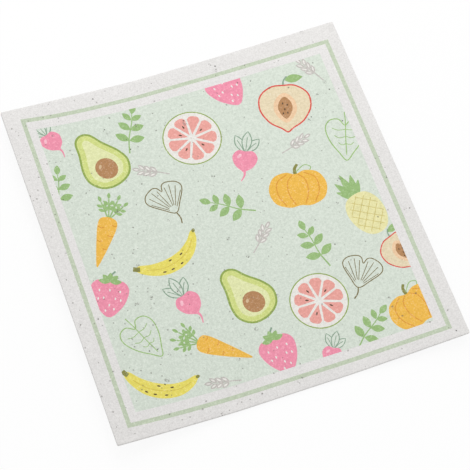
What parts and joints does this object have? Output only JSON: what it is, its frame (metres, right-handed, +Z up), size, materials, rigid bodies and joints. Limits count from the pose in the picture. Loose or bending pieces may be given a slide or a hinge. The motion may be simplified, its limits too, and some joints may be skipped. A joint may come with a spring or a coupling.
{
  "type": "sponge cloth",
  "caption": "Thin cellulose sponge dishcloth with a printed field inside a green frame line, lying slightly curled on a worktop.",
  "frame": {"origin": "on the table, under the middle of the cloth's outline", "axes": "+X across the cloth from its left side to its right side, +Y from the near edge to the far edge, +Z up out of the printed face"},
  "size_m": [0.2, 0.205, 0.0097],
  "materials": {
    "printed_sponge": "matt, open-pored"
  },
  "bodies": {
    "root": {"sponge_cloth": "printed_sponge"}
  },
  "joints": []
}
